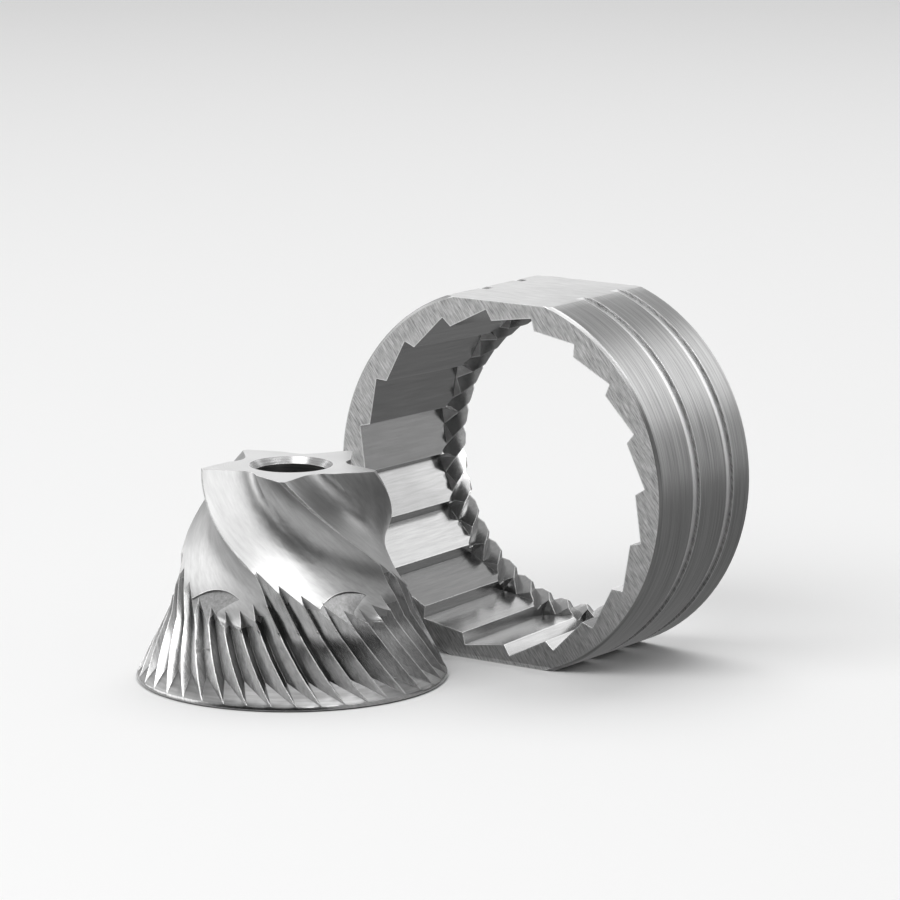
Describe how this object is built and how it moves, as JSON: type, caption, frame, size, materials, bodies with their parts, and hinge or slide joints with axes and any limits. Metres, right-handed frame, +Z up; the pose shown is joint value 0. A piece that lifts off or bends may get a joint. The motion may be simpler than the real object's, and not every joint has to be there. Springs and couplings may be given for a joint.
{
  "type": "conical burr set",
  "caption": "Matched conical steel burrs from a hand coffee grinder: a fluted inner cone burr and a toothed outer ring burr, set side by side.",
  "frame": {"origin": "axis of the inner burr's bore, at the floor that both burrs stand on", "axes": "+Z up along the inner burr's bore, from its wide foot to its narrow top; the outer burr stands to +X on one of its flats"},
  "size_m": [0.0596, 0.0437, 0.0359],
  "materials": {
    "machined_steel": "milled stainless steel, satin with bright cut edges",
    "ground_steel": "turned and ground stainless steel, satin"
  },
  "bodies": {
    "root": {"inner_burr": "machined_steel", "outer_burr": "ground_steel"}
  },
  "joints": []
}
